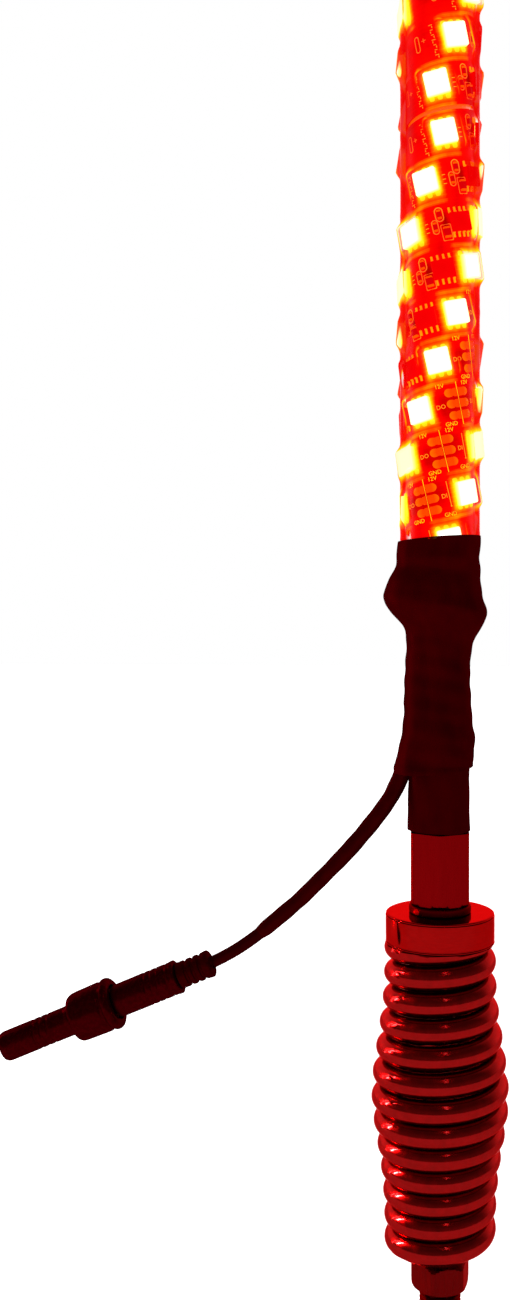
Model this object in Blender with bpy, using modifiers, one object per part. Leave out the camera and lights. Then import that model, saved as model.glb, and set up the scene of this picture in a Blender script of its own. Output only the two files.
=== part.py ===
"""Spring-base LED whip light: a threaded foot, a barrel spring, a ferrule, the lit tube,
its heat-shrink wraps, and the supply cable with a three-pin screw connector.

Metres, +Z up along the whip. The origin is the middle of the foot's seat face.
"""

import math

import bmesh
import bpy
from mathutils import Matrix, Vector

MM = 0.001
GAP = 0.3 * MM  # between pieces that touch

# Foot
FOOT_FLATS = 12.2 * MM
FOOT_TURN = math.radians(16.7)
FOOT_TOP = 9.3 * MM
STUD_RADIUS = 4.75 * MM
STUD_BOTTOM = -20.0 * MM
NUT_FLATS = 14.3 * MM

# Spring: (height of the wire's centre, radius of its outer side)
WIRE = 5.2 * MM
COIL_BARREL = [
    (9, 12.7), (16, 12.7), (22, 13.0), (28, 13.6), (35, 14.8), (40, 15.6), (45, 15.8),
    (49, 15.4), (53, 14.8), (58, 14.1), (65, 13.1), (70, 12.8), (78, 12.7),
]
COIL_RISE = [(-1, 6.63), (0, 12.0), (6, 44.2), (11, 72.8), (13, 84.2)]  # turns, height
COIL_TURNS = (-0.6, 12.3)  # turn 0 is at the front
COIL_SPLITS = (5.1, 6.5)  # turns at which the lower, middle and upper coils part
COIL_STEPS = 16  # points in a turn
COIL_SIDES = 12
PLUG_RADIUS = 6.9 * MM
LOWER_PLUG_TOP = 21.0 * MM
UPPER_PLUG_BOTTOM = 66.0 * MM

# Collar, washer and ferrule
COLLAR_BOTTOM = 78.4 * MM
COLLAR_TOP = 85.2 * MM
COLLAR_RADIUS = 12.5 * MM
WASHER_RADIUS = 7.1 * MM
WASHER_TOP = 87.0 * MM
FERRULE_FLATS = 13.3 * MM
FERRULE_HEX_TOP = 103.7 * MM
BARREL_RADIUS = 5.9 * MM
BARREL_TOP = 149.0 * MM
SPIGOT_RADIUS = 5.6 * MM
SPIGOT_TOP = 176.0 * MM
LINK_RADIUS = 4.0 * MM

# Lit tube
CORE_RADIUS = 7.0 * MM
CORE_BORE = 5.95 * MM
CORE_BOTTOM = BARREL_TOP + GAP
TUBE_TOP = 476.0 * MM
STRIP_WIDTH = 9.6 * MM
STRIP_PITCH = 10.2 * MM
STRIP_INNER = 7.5 * MM
STRIP_OUTER = 7.9 * MM
STRIP_STEPS = 11
STRIP_BOTTOM = 163.0 * MM
STRIP_TOP = TUBE_TOP - 5.0 * MM
SLEEVE_INNER = 9.1 * MM
SLEEVE_OUTER = 9.45 * MM
SLEEVE_BOTTOM = 171.0 * MM
CAP_TOP = TUBE_TOP + 7.0 * MM

# Heat-shrink wraps: (height, left half-width, right half-width)
UPPER_WRAP = [
    (170.4, 9.3, 9.2), (168.0, 9.9, 9.0), (163.5, 10.3, 9.2), (161.0, 12.0, 9.3),
    (159.0, 12.8, 9.5), (156.6, 13.0, 10.0), (154.3, 11.9, 10.9), (152.0, 9.4, 10.6),
    (149.7, 8.0, 8.9), (147.4, 7.8, 7.7), (145.0, 7.8, 7.1), (139.5, 8.0, 7.0),
    (134.0, 8.3, 7.1), (129.0, 8.5, 7.3), (124.5, 9.0, 8.2), (120.0, 9.5, 7.7),
    (117.6, 9.8, 7.5),
]
WRAP_WALL = 0.55 * MM
LOWER_WRAP = [(117.0, 7.2, 6.75), (110.0, 7.4, 6.75), (104.0, 7.4, 6.8)]
LOWER_WRAP_BORE = 6.2 * MM

# Supply cable and its connector
CABLE_RADIUS = 1.4 * MM
CABLE_ROUTE = [
    (-9.6, 0.0, 114.6), (-10.4, -0.2, 113.0), (-11.5, -0.4, 111.0), (-14.2, -0.9, 107.2),
    (-18.3, -1.6, 102.2), (-21.8, -2.1, 98.3), (-25.3, -2.5, 94.7), (-28.8, -2.8, 91.2),
    (-32.3, -3.0, 87.8), (-37.9, -3.1, 83.0), (-42.0, -3.0, 79.6), (-46.0, -2.7, 76.7),
    (-49.4, -2.3, 74.6), (-52.0, -2.0, 73.2),
]
CABLE_POINTS = 26
COVER_RADIUS = 1.95 * MM
COVER_WALL = 0.3 * MM
COVER_END = 0.80  # share of the cable's length that is covered
CONNECTOR_START = Vector((-52.4, -2.0, 72.95)) * MM
CONNECTOR_END = Vector((-101.8, -2.0, 52.0)) * MM
NUT_FROM = 24.3 * MM
NUT_TO = 34.9 * MM


def clearScene():
    for obj in list(bpy.data.objects):
        bpy.data.objects.remove(obj, do_unlink=True)
    for group in list(bpy.data.collections):
        bpy.data.collections.remove(group)


def newCollection(name):
    group = bpy.data.collections.new(name)
    bpy.context.scene.collection.children.link(group)
    return group


clearScene()
model = newCollection("led_whip_light")
cutters = newCollection("cutters")


def material(name, colour, roughness, metallic=0.0):
    mat = bpy.data.materials.get(name)
    if mat is None:
        mat = bpy.data.materials.new(name)
        mat.use_nodes = True
        shader = mat.node_tree.nodes["Principled BSDF"]
        shader.inputs["Base Color"].default_value = (*colour, 1)
        shader.inputs["Roughness"].default_value = roughness
        shader.inputs["Metallic"].default_value = metallic
    return mat


def steel():
    return material("chromed_steel", (0.45, 0.03, 0.03), 0.22, 1.0)


def darkSteel():
    return material("dark_steel", (0.16, 0.02, 0.02), 0.35, 1.0)


def shrink():
    return material("heat_shrink", (0.02, 0.003, 0.003), 0.5)


def nylon():
    return material("black_nylon", (0.02, 0.004, 0.004), 0.4)


def rubber():
    return material("black_rubber", (0.015, 0.004, 0.004), 0.6)


def addObject(name, data, mat, group=None):
    obj = bpy.data.objects.new(name, data)
    (group or model).objects.link(obj)
    data.materials.append(mat)
    return obj


def meshObject(name, bm, mat, group=None):
    mesh = bpy.data.meshes.new(name)
    bmesh.ops.recalc_face_normals(bm, faces=bm.faces)
    bm.to_mesh(mesh)
    bm.free()
    mesh.shade_smooth()
    mesh.set_sharp_from_angle(angle=math.radians(35))
    return addObject(name, mesh, mat, group)


def turned(name, profile, mat, steps=32, closed=False, group=None):
    """A turned piece. The profile is (radius, height), down the outer side; a closed one
    comes back up the bore."""
    bm = bmesh.new()
    verts = [bm.verts.new((r, 0, z)) for r, z in profile]
    for a, b in zip(verts, verts[1:]):
        bm.edges.new((a, b))
    if closed:
        bm.edges.new((verts[-1], verts[0]))
    mesh = bpy.data.meshes.new(name)
    bm.to_mesh(mesh)
    bm.free()
    obj = addObject(name, mesh, mat, group)
    screw = obj.modifiers.new("turn", "SCREW")
    screw.axis = "Z"
    screw.steps = screw.render_steps = steps
    screw.use_merge_vertices = True
    screw.merge_threshold = 0.00001
    screw.use_smooth_shade = True
    return obj


def ring(name, bore, radius, bottom, top, mat, steps=32, chamfer=0.0):
    c = chamfer
    profile = [
        (radius - c, top), (radius, top - c), (radius, bottom + c), (radius - c, bottom),
        (bore, bottom), (bore, top),
    ]
    if c == 0:
        profile = [(radius, top), (radius, bottom), (bore, bottom), (bore, top)]
    return turned(name, profile, mat, steps, closed=True)


def hexPrism(flats, bottom, top, turn, name, mat, group=None):
    """A hexagonal bar whose corner points along -Y when turn is 0."""
    bm = bmesh.new()
    bmesh.ops.create_cone(
        bm, cap_ends=True, segments=6, radius1=flats / math.sqrt(3),
        radius2=flats / math.sqrt(3), depth=top - bottom,
    )
    centre = Matrix.Translation((0, 0, (top + bottom) / 2))
    bmesh.ops.transform(bm, matrix=centre @ Matrix.Rotation(turn, 4, "Z"), verts=bm.verts)
    return meshObject(name, bm, mat, group)


def boolean(obj, other, operation):
    mod = obj.modifiers.new(operation.lower(), "BOOLEAN")
    mod.operation = operation
    mod.solver = "EXACT"
    mod.object = other
    if other.name not in cutters.objects:
        cutters.objects.link(other)
        model.objects.unlink(other)
    other.hide_render = True
    other.display_type = "WIRE"


def smoothRoute(points, count):
    """Evenly spaced points on a Catmull-Rom curve through the route's points."""
    pts = [Vector(p) * MM for p in points]
    ends = [pts[0] * 2 - pts[1]] + pts + [pts[-1] * 2 - pts[-2]]
    fine = []
    for i in range(1, len(ends) - 2):
        a, b, c, d = ends[i - 1: i + 3]
        for k in range(12):
            t = k / 12
            fine.append(0.5 * (2 * b + (c - a) * t + (2 * a - 5 * b + 4 * c - d) * t * t
                               + (3 * b - a - 3 * c + d) * t ** 3))
    fine.append(pts[-1])
    lengths = [0.0]
    for a, b in zip(fine, fine[1:]):
        lengths.append(lengths[-1] + (b - a).length)
    out, j = [], 0
    for i in range(count):
        want = lengths[-1] * i / (count - 1)
        while j < len(fine) - 2 and lengths[j + 1] < want:
            j += 1
        share = (want - lengths[j]) / max(lengths[j + 1] - lengths[j], 1e-12)
        out.append(fine[j].lerp(fine[j + 1], min(share, 1.0)))
    return out


def tube(name, points, radius, mat, resolution=2, caps=True):
    curve = bpy.data.curves.new(name, "CURVE")
    curve.dimensions = "3D"
    curve.bevel_depth = radius
    curve.bevel_resolution = resolution
    curve.use_fill_caps = caps
    spline = curve.splines.new("POLY")
    spline.points.add(len(points) - 1)
    for point, place in zip(spline.points, points):
        point.co = (*place, 1)
    return addObject(name, curve, mat)


def ramp(table, x):
    """Straight-line interpolation in a table of (x, y) with x rising."""
    for (x0, y0), (x1, y1) in zip(table, table[1:]):
        if x <= x1:
            return y0 + (y1 - y0) * max(0.0, (x - x0) / (x1 - x0))
    return table[-1][1]


# ---------------------------------------------------------------- foot


def makeFoot():
    foot = hexPrism(FOOT_FLATS, 0, FOOT_TOP, math.radians(30) + FOOT_TURN, "foot_hex", steel())
    corner = FOOT_FLATS / math.sqrt(3)
    form = turned(
        "foot_form",
        [(0, 12 * MM), (corner - 0.9 * MM, 12 * MM), (corner - 0.8 * MM, FOOT_TOP),
         (corner + 0.2 * MM, FOOT_TOP - 0.8 * MM), (corner + 0.2 * MM, 4.6 * MM),
         (6.2 * MM, 0.9 * MM), (5.9 * MM, 0), (5.8 * MM, -1 * MM), (0, -1 * MM)],
        steel(), 48,
    )
    boolean(foot, form, "INTERSECT")
    plug = turned(
        "foot_plug",
        [(0, LOWER_PLUG_TOP), (5.6 * MM, LOWER_PLUG_TOP), (PLUG_RADIUS, 19 * MM),
         (PLUG_RADIUS, 11 * MM), (5.4 * MM, 9 * MM), (5.4 * MM, 5 * MM), (0, 5 * MM)],
        steel(), 32,
    )
    boolean(foot, plug, "UNION")
    bore = turned(
        "foot_bore",
        [(0, 9.5 * MM), (STUD_RADIUS + GAP, 8.5 * MM), (STUD_RADIUS + GAP, -2 * MM),
         (0, -2 * MM)],
        steel(), 32,
    )
    boolean(foot, bore, "DIFFERENCE")


def makeStud():
    chamfer = 0.7 * MM
    top = 8.2 * MM
    turned(
        "foot_stud",
        [(0, top), (STUD_RADIUS - chamfer, top), (STUD_RADIUS, top - chamfer),
         (STUD_RADIUS, STUD_BOTTOM + chamfer), (STUD_RADIUS - chamfer, STUD_BOTTOM),
         (0, STUD_BOTTOM)],
        darkSteel(), 32,
    )
    bore = STUD_RADIUS + GAP
    washerTop = -10.2 * MM
    washerBottom = washerTop - 2.2 * MM
    ring("lock_washer", bore, 8.3 * MM, washerBottom, washerTop, darkSteel(), 36)
    nutTop = washerBottom - GAP
    nutBottom = nutTop - 5.6 * MM
    nut = hexPrism(NUT_FLATS, nutBottom, nutTop, 0, "foot_nut", steel())
    corner = NUT_FLATS / math.sqrt(3)
    form = turned(
        "nut_form",
        [(0, nutTop + 1 * MM), (corner - 2 * MM, nutTop + 0.6 * MM),
         (corner + 0.2 * MM, nutTop - 0.7 * MM), (corner + 0.2 * MM, nutBottom + 0.7 * MM),
         (corner - 2 * MM, nutBottom - 0.6 * MM), (0, nutBottom - 1 * MM)],
        steel(), 48,
    )
    boolean(nut, form, "INTERSECT")
    hole = turned(
        "nut_hole",
        [(0, nutTop + 2 * MM), (bore, nutTop + 2 * MM), (bore, nutBottom - 2 * MM),
         (0, nutBottom - 2 * MM)],
        steel(), 32,
    )
    boolean(nut, hole, "DIFFERENCE")


# ---------------------------------------------------------------- spring


def coilPoint(turns):
    """Centre of the wire. The barrel's outer radius follows the height."""
    z = ramp(COIL_RISE, turns) * MM
    outer = ramp(COIL_BARREL, min(max(z / MM, 9), 78)) * MM
    r = outer - WIRE / 2
    angle = -math.pi / 2 + turns * 2 * math.pi
    return Vector((r * math.cos(angle), r * math.sin(angle), z))


def coilSection(turns, low, high):
    """A round section square to the wire, cut flat where it passes the ground ends."""
    centre = coilPoint(turns)
    along = (coilPoint(turns + 0.002) - coilPoint(turns - 0.002)).normalized()
    outward = Vector((centre.x, centre.y, 0)).normalized()
    upward = outward.cross(along).normalized()
    upward = upward if upward.z > 0 else -upward
    r = WIRE / 2
    top, bottom = (high - centre.z) / upward.z, (low - centre.z) / upward.z
    points = []
    for k in range(COIL_SIDES):
        a = 2 * math.pi * (k + 0.5) / COIL_SIDES
        x, y = r * math.cos(a), r * math.sin(a)
        if top < r and y > top:
            reach = math.sqrt(r * r - top * top)
            edge = math.asin(top / r)
            x, y = reach * (1 - 2 * (a - edge) / (math.pi - 2 * edge)), top
            if a - edge > math.pi - 2 * edge:
                x = reach * (1 - 2 * (a - 2 * math.pi - edge) / (math.pi - 2 * edge))
        elif bottom > -r and y < bottom:
            reach = math.sqrt(r * r - bottom * bottom)
            edge = math.asin(-bottom / r)
            turn = 2 * math.pi - a
            if turn > math.pi - edge:
                turn -= 2 * math.pi
            x, y = reach * (1 - 2 * (turn - edge) / (math.pi - 2 * edge)), bottom
        point = centre + outward * x + upward * y
        point.z = min(max(point.z, low), high)
        points.append(point)
    return points


def makeSpring():
    breaks = [COIL_TURNS[0], *COIL_SPLITS, COIL_TURNS[1]]
    names = ["spring_lower_coils", "spring_middle_coils", "spring_upper_coils"]
    clearance = GAP / (2 * math.pi * 13 * MM)
    for name, start, end in zip(names, breaks, breaks[1:]):
        start += clearance * (start > 0)
        inner = [k / COIL_STEPS for k in range(math.ceil(start * COIL_STEPS + 0.5),
                                                math.floor(end * COIL_STEPS - 0.5) + 1)]
        # a short first and last segment sets each end square to the wire
        along = [start, start + 0.008, *inner, end - 0.008, end]
        verts, faces = [], []
        for t in along:
            verts += coilSection(t, FOOT_TOP + GAP, COLLAR_BOTTOM - GAP)
        n = COIL_SIDES
        for i in range(len(along) - 1):
            for k in range(n):
                a, b = i * n + k, i * n + (k + 1) % n
                faces.append((a, b, b + n, a + n))
        faces.append(tuple(range(n)))
        faces.append(tuple(reversed(range(len(verts) - n, len(verts)))))
        bm = bmesh.new()
        corners = [bm.verts.new(v) for v in verts]
        for face in faces:
            bm.faces.new([corners[k] for k in face])
        meshObject(name, bm, steel())


# ---------------------------------------------------------------- collar and ferrule


def makeCollar():
    edge = 0.35 * MM
    bore = LINK_RADIUS + GAP
    turned(
        "spring_collar",
        [(COLLAR_RADIUS - edge, COLLAR_TOP), (COLLAR_RADIUS, COLLAR_TOP - edge),
         (COLLAR_RADIUS, COLLAR_BOTTOM + edge), (COLLAR_RADIUS - edge, COLLAR_BOTTOM),
         (PLUG_RADIUS, COLLAR_BOTTOM), (PLUG_RADIUS, UPPER_PLUG_BOTTOM + 2 * MM),
         (PLUG_RADIUS - 1.2 * MM, UPPER_PLUG_BOTTOM), (bore, UPPER_PLUG_BOTTOM),
         (bore, COLLAR_TOP)],
        steel(), 36, closed=True,
    )
    ring("collar_washer", bore, WASHER_RADIUS, COLLAR_TOP + GAP, WASHER_TOP, darkSteel(), 32,
         0.2 * MM)
    turned(
        "link_stud",
        [(0, 98.5 * MM), (LINK_RADIUS - 0.6 * MM, 98.5 * MM), (LINK_RADIUS, 97.9 * MM),
         (LINK_RADIUS, 68.6 * MM), (LINK_RADIUS - 0.6 * MM, 68 * MM), (0, 68 * MM)],
        darkSteel(), 24,
    )


def makeFerrule():
    bottom = WASHER_TOP + GAP
    ferrule = hexPrism(FERRULE_FLATS, bottom, FERRULE_HEX_TOP, 0, "whip_ferrule", steel())
    barrel = turned(
        "ferrule_barrel",
        [(0, SPIGOT_TOP), (SPIGOT_RADIUS - 0.8 * MM, SPIGOT_TOP),
         (SPIGOT_RADIUS, SPIGOT_TOP - 0.8 * MM), (SPIGOT_RADIUS, BARREL_TOP),
         (BARREL_RADIUS, BARREL_TOP), (BARREL_RADIUS, 100 * MM), (0, 100 * MM)],
        steel(), 32,
    )
    boolean(ferrule, barrel, "UNION")
    bore = turned(
        "ferrule_bore",
        [(0, 100.6 * MM), (LINK_RADIUS + GAP, 98.8 * MM), (LINK_RADIUS + GAP, 80 * MM),
         (0, 80 * MM)],
        steel(), 24,
    )
    boolean(ferrule, bore, "DIFFERENCE")


# ---------------------------------------------------------------- lit tube


def makeStrip():
    """A flat ribbon wound right-handed, edge beside edge, on the core tube."""
    rise = STRIP_WIDTH / math.cos(math.atan(STRIP_PITCH / (2 * math.pi * STRIP_INNER)))
    turns = (STRIP_TOP - STRIP_BOTTOM - rise) / STRIP_PITCH
    count = int(turns * STRIP_STEPS)
    bm = bmesh.new()
    rows = []
    for i in range(count + 1):
        angle = 2 * math.pi * i / STRIP_STEPS
        low = STRIP_BOTTOM + STRIP_PITCH * i / STRIP_STEPS
        corners = [(STRIP_INNER, low), (STRIP_OUTER, low), (STRIP_OUTER, low + rise),
                   (STRIP_INNER, low + rise)]
        rows.append([bm.verts.new((r * math.cos(angle), r * math.sin(angle), z))
                     for r, z in corners])
    for a, b in zip(rows, rows[1:]):
        for k in range(4):
            bm.faces.new((a[k], a[(k + 1) % 4], b[(k + 1) % 4], b[k]))
    bm.faces.new(rows[0])
    bm.faces.new(rows[-1])
    meshObject("led_strip", bm, material("led_strip", (0.8, 0.02, 0.01), 0.4))


def makeTube():
    ring("core_tube", CORE_BORE, CORE_RADIUS, CORE_BOTTOM, TUBE_TOP - 2 * MM,
         material("core_tube", (0.7, 0.03, 0.02), 0.4), 32)
    makeStrip()
    ring("clear_sleeve", SLEEVE_INNER, SLEEVE_OUTER, SLEEVE_BOTTOM, TUBE_TOP - 3 * MM,
         material("clear_film", (0.9, 0.3, 0.2), 0.1), 32)
    turned(
        "core_plug",
        [(0, TUBE_TOP - 2 * MM - GAP), (5 * MM, TUBE_TOP - 2 * MM - GAP),
         (CORE_BORE - GAP, TUBE_TOP - 4 * MM), (CORE_BORE - GAP, TUBE_TOP - 12 * MM),
         (0, TUBE_TOP - 12 * MM)],
        nylon(), 24,
    )
    capWall = 0.9 * MM
    capBore = SLEEVE_OUTER + GAP
    capOuter = capBore + capWall
    capSkirt = TUBE_TOP - 12 * MM
    turned(
        "top_cap",
        [(0, CAP_TOP), (6 * MM, CAP_TOP - 0.5 * MM), (9 * MM, CAP_TOP - 2.2 * MM),
         (capOuter, CAP_TOP - 4.8 * MM), (capOuter, capSkirt + 0.3 * MM),
         (capOuter - 0.3 * MM, capSkirt), (capBore, capSkirt), (capBore, TUBE_TOP - 2 * MM),
         (8.4 * MM, TUBE_TOP), (0, TUBE_TOP)],
        rubber(), 32,
    )


# ---------------------------------------------------------------- wraps


def wrapShell(name, table, bore, mat, sides=24):
    """A shrunk sleeve: a loft between round sections whose middles wander sideways."""
    bm = bmesh.new()
    loops = []
    for z, left, right in table:
        centre, radius = (right - left) / 2 * MM, (left + right) / 2 * MM
        loops.append([bm.verts.new((centre + radius * math.cos(t), radius * 0.97 * math.sin(t),
                                    z * MM))
                      for t in (2 * math.pi * k / sides for k in range(sides))])
    for z, left, right in reversed(table):
        centre, radius = bore(z, left, right)
        loops.append([bm.verts.new((centre + radius * math.cos(t), radius * math.sin(t), z * MM))
                      for t in (2 * math.pi * k / sides for k in range(sides))])
    loops.append(loops[0])
    for a, b in zip(loops, loops[1:]):
        for k in range(sides):
            bm.faces.new((a[k], b[k], b[(k + 1) % sides], a[(k + 1) % sides]))
    return meshObject(name, bm, mat)


def upperBore(z, left, right):
    if z > 150:
        return 0.0, max(8.3 * MM, min(left, right) * MM - 1.0 * MM)
    radius = (left + right) / 2 * MM * 0.97 - WRAP_WALL
    return (right - left) / 2 * MM * 0.85, radius - 0.08 * MM


def lowerBore(z, left, right):
    return -0.1 * MM, LOWER_WRAP_BORE


def makeWraps():
    wrapShell("upper_shrink_sleeve", UPPER_WRAP, upperBore, shrink())
    wrapShell("lower_shrink_sleeve", LOWER_WRAP, lowerBore, shrink())


def makeLeads():
    """Three leads run up beside the ferrule, under the upper wrap."""
    colours = {"lead_positive": (0.5, 0.02, 0.02), "lead_data": (0.05, 0.3, 0.08),
               "lead_ground": (0.02, 0.02, 0.02)}
    for k, (name, colour) in enumerate(colours.items()):
        angle = math.pi + (k - 1) * math.radians(11)
        points = [Vector((6.55 * MM * math.cos(angle), 6.55 * MM * math.sin(angle), z * MM))
                  for z in (122, 130, 138, 146)]
        tube(name, points, 0.35 * MM, material(name, colour, 0.5))


# ---------------------------------------------------------------- cable and connector


def makeCable():
    points = smoothRoute(CABLE_ROUTE, CABLE_POINTS)
    tube("power_cable", points, CABLE_RADIUS, rubber())
    covered = points[:int(CABLE_POINTS * COVER_END)]
    cover = tube("cable_cover", covered, COVER_RADIUS, shrink(), caps=False)
    cover.data.use_fill_caps = False
    wall = cover.modifiers.new("wall", "SOLIDIFY")
    wall.thickness = COVER_WALL
    wall.offset = -1
    wall.use_rim = True


def connectorFrame():
    """Local +Z runs along the connector, away from the cable."""
    along = (CONNECTOR_END - CONNECTOR_START).normalized()
    across = Vector((0, 1, 0))
    side = across.cross(along)
    turn = Matrix((side, across, along)).transposed().to_4x4()
    return Matrix.Translation(CONNECTOR_START) @ turn


def onConnector(obj):
    obj.matrix_world = connectorFrame()
    return obj


def ribs(start, count, pitch, width, low, high):
    """Profile points of a run of grooves, from the end with the higher number down."""
    out = []
    for k in reversed(range(count)):
        z = start + k * pitch
        out += [(high, z + width + 0.25 * MM), (low, z + width), (low, z + 0.25 * MM), (high, z)]
    return out


def makeConnector():
    boot = turned(
        "cable_boot",
        [(0, 8.2 * MM), (2.6 * MM, 8.2 * MM)]
        + ribs(1.9 * MM, 3, 2.1 * MM, 1.0 * MM, 2.45 * MM, 3.05 * MM)
        + [(3.05 * MM, 0.8 * MM), (2.5 * MM, 0), (0, 0)],
        rubber(), 16,
    )
    onConnector(boot)
    body = turned(
        "plug_body",
        [(0, 33.6 * MM), (2.1 * MM, 33.6 * MM), (2.3 * MM, 33.3 * MM), (2.3 * MM, 24.6 * MM),
         (3.8 * MM, 24 * MM)]
        + ribs(13.2 * MM, 3, 1.5 * MM, 0.7 * MM, 3.5 * MM, 3.8 * MM)
        + [(3.8 * MM, 9.4 * MM), (3.6 * MM, 8.5 * MM), (0, 8.5 * MM)],
        nylon(), 20,
    )
    onConnector(body)
    for k in range(3):
        angle = math.radians(90 + 120 * k)
        pin = turned(
            f"contact_pin_{k + 1}",
            [(0, 37.0 * MM), (0.3 * MM, 37.0 * MM), (0.45 * MM, 36.5 * MM),
             (0.45 * MM, 33.9 * MM), (0, 33.9 * MM)],
            material("tinned_brass", (0.7, 0.5, 0.3), 0.3, 1.0), 12,
        )
        pin.matrix_world = connectorFrame() @ Matrix.Translation(
            (1.1 * MM * math.cos(angle), 1.1 * MM * math.sin(angle), 0))
    seal = turned(
        "seal_ring",
        [(3.35 * MM, 27.1 * MM), (3.35 * MM, 25.2 * MM), (2.6 * MM, 25.2 * MM),
         (2.6 * MM, 27.1 * MM)],
        rubber(), 24, closed=True,
    )
    onConnector(seal)
    nut = turned(
        "coupling_nut",
        [(5.55 * MM, NUT_TO - 0.9 * MM), (5.75 * MM, NUT_FROM + 2.2 * MM),
         (6.0 * MM, NUT_FROM + 1.2 * MM), (5.3 * MM, NUT_FROM), (4.1 * MM, NUT_FROM),
         (4.1 * MM, NUT_TO), (4.9 * MM, NUT_TO)],
        nylon(), 24, closed=True,
    )
    onConnector(nut)
    socket = turned(
        "socket_body",
        [(3.2 * MM, 52.8 * MM), (3.45 * MM, 52.3 * MM)]
        + ribs(41.0 * MM, 3, 2.0 * MM, 0.9 * MM, 3.1 * MM, 3.45 * MM)
        + [(3.45 * MM, 36.0 * MM), (3.75 * MM, 35.3 * MM), (3.75 * MM, 27.7 * MM),
           (3.5 * MM, 27.4 * MM), (2.6 * MM, 27.4 * MM), (2.6 * MM, 37.6 * MM),
           (1.7 * MM, 38.2 * MM), (1.7 * MM, 52.8 * MM)],
        nylon(), 20, closed=True,
    )
    onConnector(socket)
    tail = turned(
        "socket_seal",
        [(0, 53.6 * MM), (2.6 * MM, 53.6 * MM), (2.9 * MM, 53.1 * MM), (1.4 * MM, 53.1 * MM),
         (1.4 * MM, 39 * MM), (0, 39 * MM)],
        rubber(), 24,
    )
    onConnector(tail)


makeFoot()
makeStud()
makeSpring()
makeCollar()
makeFerrule()
makeTube()
makeWraps()
makeLeads()
makeCable()
makeConnector()
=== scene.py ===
import math

import bmesh
import bpy
import numpy as np
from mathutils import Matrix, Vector


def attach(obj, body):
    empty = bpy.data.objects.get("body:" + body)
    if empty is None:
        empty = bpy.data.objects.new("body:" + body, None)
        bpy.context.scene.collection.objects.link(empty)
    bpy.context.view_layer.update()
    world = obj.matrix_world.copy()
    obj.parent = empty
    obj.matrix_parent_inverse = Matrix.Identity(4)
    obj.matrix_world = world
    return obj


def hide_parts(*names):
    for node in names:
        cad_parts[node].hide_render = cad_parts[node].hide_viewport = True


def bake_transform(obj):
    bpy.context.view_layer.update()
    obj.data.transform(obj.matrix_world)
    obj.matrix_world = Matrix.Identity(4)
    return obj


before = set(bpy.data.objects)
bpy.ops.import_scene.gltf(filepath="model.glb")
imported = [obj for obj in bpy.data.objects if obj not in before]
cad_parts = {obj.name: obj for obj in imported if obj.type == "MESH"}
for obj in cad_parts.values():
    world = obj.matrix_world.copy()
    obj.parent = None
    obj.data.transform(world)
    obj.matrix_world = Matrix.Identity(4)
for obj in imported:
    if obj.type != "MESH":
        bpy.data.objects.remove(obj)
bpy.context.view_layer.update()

mm = 0.001
pi = math.pi


def toLinear(code):
    # sRGB hex text to linear red, green, blue, alpha
    parts = np.array([int(code[i:i + 2], 16) for i in (0, 2, 4)]) / 255
    linear = np.where(parts <= 0.04045, parts / 12.92, ((parts + 0.055) / 1.055) ** 2.4)
    return (*[float(v) for v in linear], 1.0)


def setInputs(node, **values):
    for key, value in values.items():
        node.inputs[key.replace("_", " ")].default_value = value


def setLinks(mat, node, links):
    for key, socket in links.items():
        mat.node_tree.links.new(socket, node.inputs[key])


def addNode(mat, kind, settings=None, links=None, **values):
    # one node, with its settings, its values by socket name, and its links
    node = mat.node_tree.nodes.new("ShaderNode" + kind)
    for key, value in (settings or {}).items():
        setattr(node, key, value)
    setInputs(node, **values)
    setLinks(mat, node, links or {})
    return node


def setRamp(node, stops):
    ramp = node.color_ramp
    while len(ramp.elements) > 1:
        ramp.elements.remove(ramp.elements[-1])
    for i, (place, code) in enumerate(stops):
        element = ramp.elements[0] if i == 0 else ramp.elements.new(place)
        element.position = place
        element.color = toLinear(code)
    return node


def newMaterial(name):
    mat = bpy.data.materials.new(name)
    mat.use_nodes = True
    return mat, mat.node_tree.nodes["Principled BSDF"]


def setSurface(mat, socket):
    setLinks(mat, mat.node_tree.nodes["Material Output"], {"Surface": socket})


def smoothStep(a, b, x):
    # 0 at a and 1 at b, level at both ends
    t = np.clip((x - a) / (b - a), 0, 1)
    return t * t * (3 - 2 * t)


def standFor(node):
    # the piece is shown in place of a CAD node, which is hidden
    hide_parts(node)


def finishMesh(name, verts, faces, mat, body, sharp=40, uv=None, attributes=None):
    # verts are in millimetres; the mesh keeps its place, and the object stays at the origin
    mesh = bpy.data.meshes.new(name)
    faces = np.asarray(faces, np.int32)
    sides = faces.shape[1]
    mesh.vertices.add(len(verts))
    mesh.vertices.foreach_set("co", (np.asarray(verts, float) * mm).astype(np.float32).ravel())
    mesh.loops.add(faces.size)
    mesh.loops.foreach_set("vertex_index", faces.ravel())
    mesh.polygons.add(len(faces))
    mesh.polygons.foreach_set("loop_start", np.arange(0, faces.size, sides, dtype=np.int32))
    mesh.update(calc_edges=True)
    if uv is not None:
        layer = mesh.uv_layers.new(name="UVMap")
        layer.data.foreach_set("uv", np.asarray(uv, np.float32)[faces.ravel()].ravel())
    for key, values in (attributes or {}).items():
        mesh.attributes.new(key, "FLOAT", "POINT").data.foreach_set(
            "value", np.asarray(values, np.float32))
    mesh.validate()
    bm = bmesh.new()
    bm.from_mesh(mesh)
    bmesh.ops.remove_doubles(bm, verts=bm.verts, dist=0.000002)
    bmesh.ops.recalc_face_normals(bm, faces=bm.faces)
    bm.to_mesh(mesh)
    bm.free()
    mesh.shade_smooth()
    mesh.set_sharp_from_angle(angle=math.radians(sharp))
    obj = bpy.data.objects.new(name, mesh)
    bpy.context.scene.collection.objects.link(obj)
    mesh.materials.append(mat)
    if body:
        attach(obj, body)
    return obj


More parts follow.
